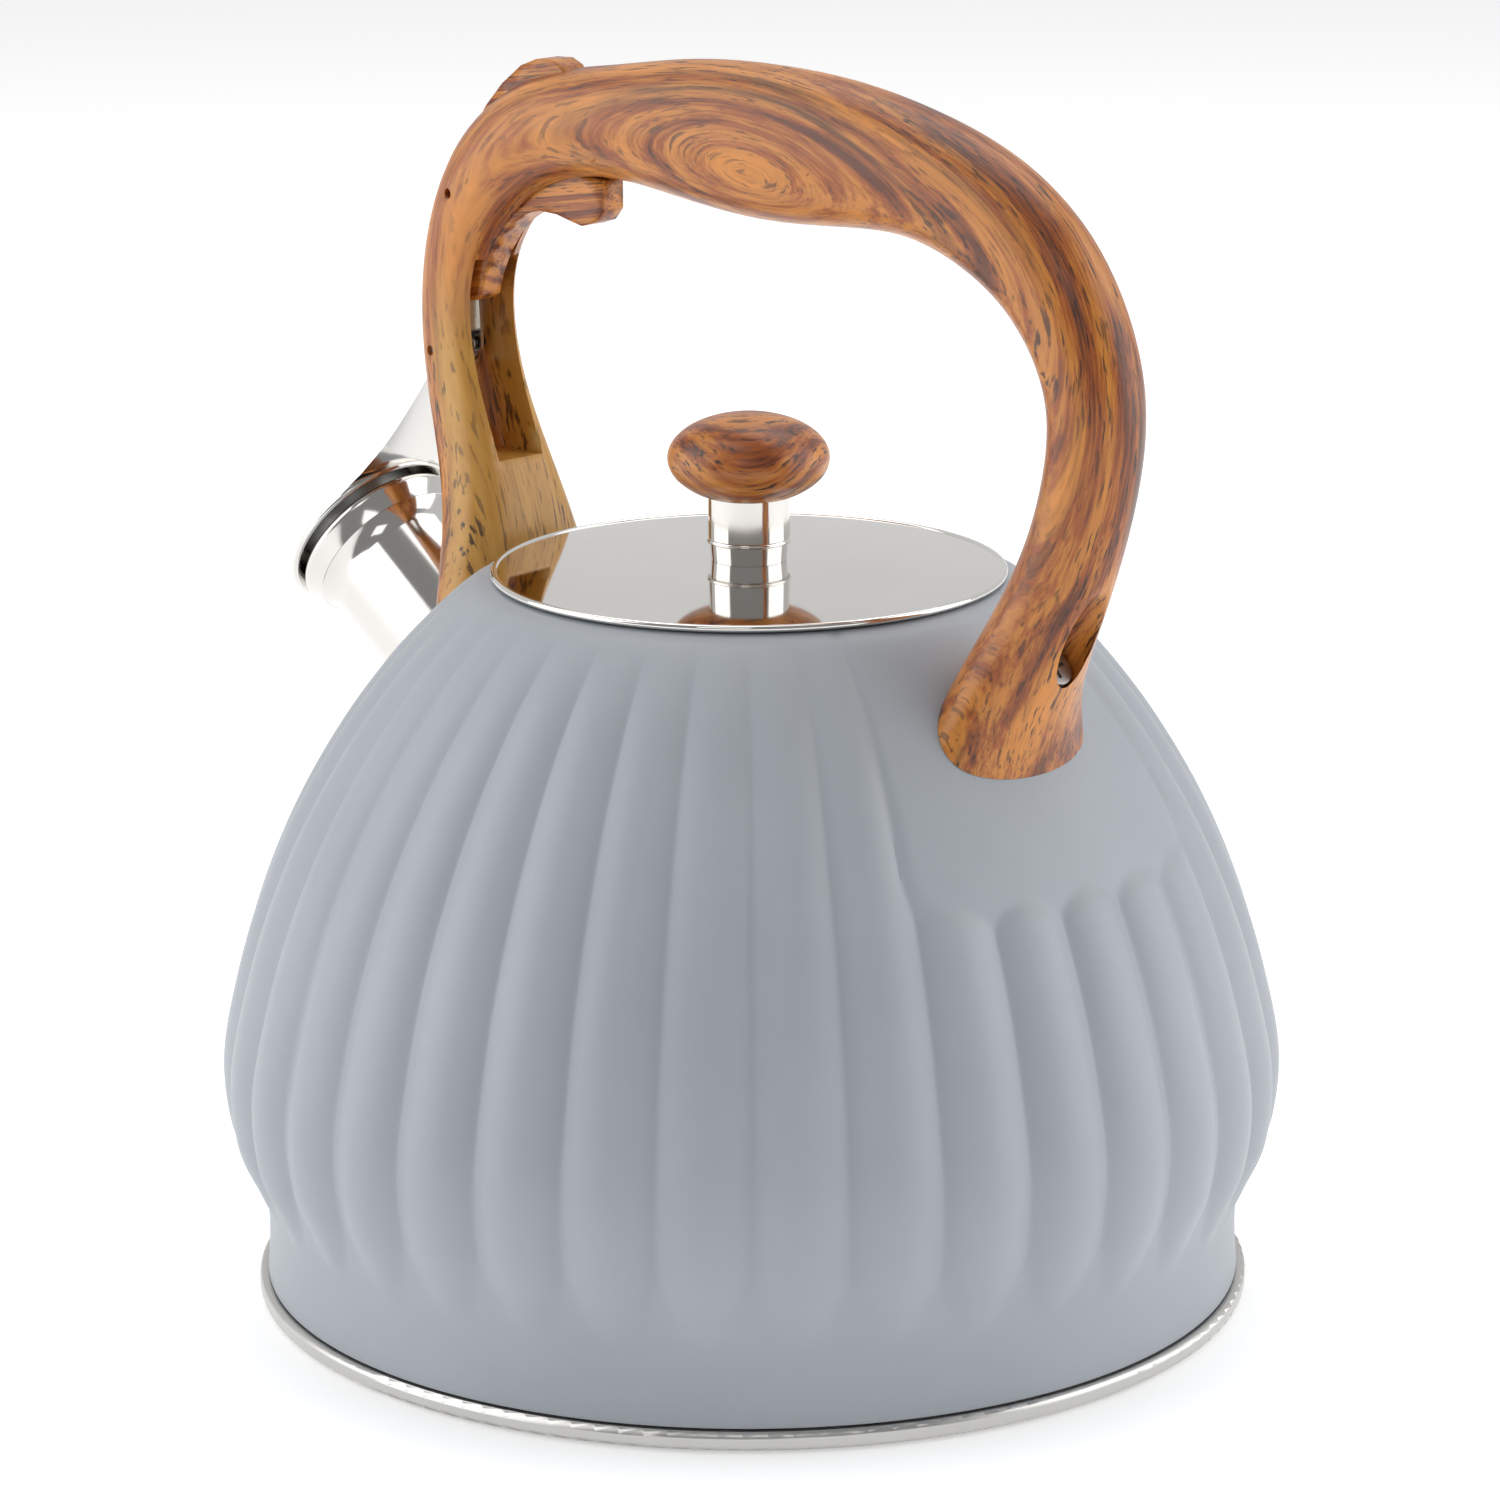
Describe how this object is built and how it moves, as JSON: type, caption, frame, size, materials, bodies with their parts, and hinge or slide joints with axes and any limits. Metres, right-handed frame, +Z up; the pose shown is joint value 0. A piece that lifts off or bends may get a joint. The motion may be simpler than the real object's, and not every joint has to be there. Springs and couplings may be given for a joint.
{
  "type": "whistling kettle",
  "caption": "Stovetop whistling kettle: ribbed steel body, lift-off lid with knob, arched handle with trigger that swings the whistle cap off the spout.",
  "frame": {"origin": "centre of the flat underside, on the surface the kettle stands on", "axes": "+Z up; the spout points along -X and the handle stands in the XZ plane, its rear foot on +X"},
  "size_m": [0.2395, 0.2202, 0.2562],
  "materials": {
    "body_paint": "matt light blue-grey enamel",
    "steel_ring": "satin rolled ring",
    "aluminium": "plain",
    "steel_base": "brushed",
    "steel_polished": "polished",
    "steel_mirror": "mirror polished",
    "steel_plain": "plain",
    "steel_dark": "plain",
    "brass": "turned",
    "wood_handle": "heat-resistant plastic with a satin wood-grain print",
    "wood_trigger": "heat-resistant plastic with a satin wood-grain print",
    "wood_knob": "heat-resistant plastic with a satin wood-grain print"
  },
  "bodies": {
    "kettle": {"body_shell": "body_paint", "base_pan": "steel_ring", "heat_spreader": "aluminium", "base_cover": "steel_base", "spout_tube": "steel_polished", "spout_lip": "steel_polished", "handle": "wood_handle", "handle_bracket_rear": "steel_plain", "handle_bracket_front": "steel_plain", "handle_washers": "steel_plain", "handle_screws": "steel_plain", "cap_pin": "steel_dark", "trigger_pin": "steel_dark", "closing_spring": "steel_plain"},
    "trigger": {"trigger_lever": "wood_trigger"},
    "cap": {"spout_cap": "steel_polished", "whistle_cup": "steel_plain", "whistle_disc_inner": "steel_plain", "whistle_disc_outer": "steel_plain"},
    "lid": {"lid_plate": "steel_mirror", "lid_skirt": "steel_plain", "knob": "wood_knob", "knob_ferrule": "steel_polished", "knob_insert": "brass", "knob_washer": "steel_plain", "knob_screw": "steel_plain"}
  },
  "joints": [
    {"name": "trigger_squeeze", "type": "hinge", "parent": "kettle", "child": "trigger", "pos_m": [-0.0795, 0, 0.222], "axis": [0, -1, 0], "range_deg": [0, 14], "stiffness_Nm_per_rad": 0.12, "springref_deg": -14.32},
    {"name": "cap_swing", "type": "hinge", "parent": "kettle", "child": "cap", "pos_m": [-0.0868, 0, 0.1875], "axis": [0, 1, 0], "range_deg": [0, 19.5], "deforming": ["closing_spring"]},
    {"name": "lid_lift", "type": "slide", "parent": "kettle", "child": "lid", "axis": [0, 0, 1], "range_m": [0, 0.036]}
  ],
  "couplings": [
    {"joint": "cap_swing", "follows": "trigger_squeeze", "ratio": 1.39}
  ]
}
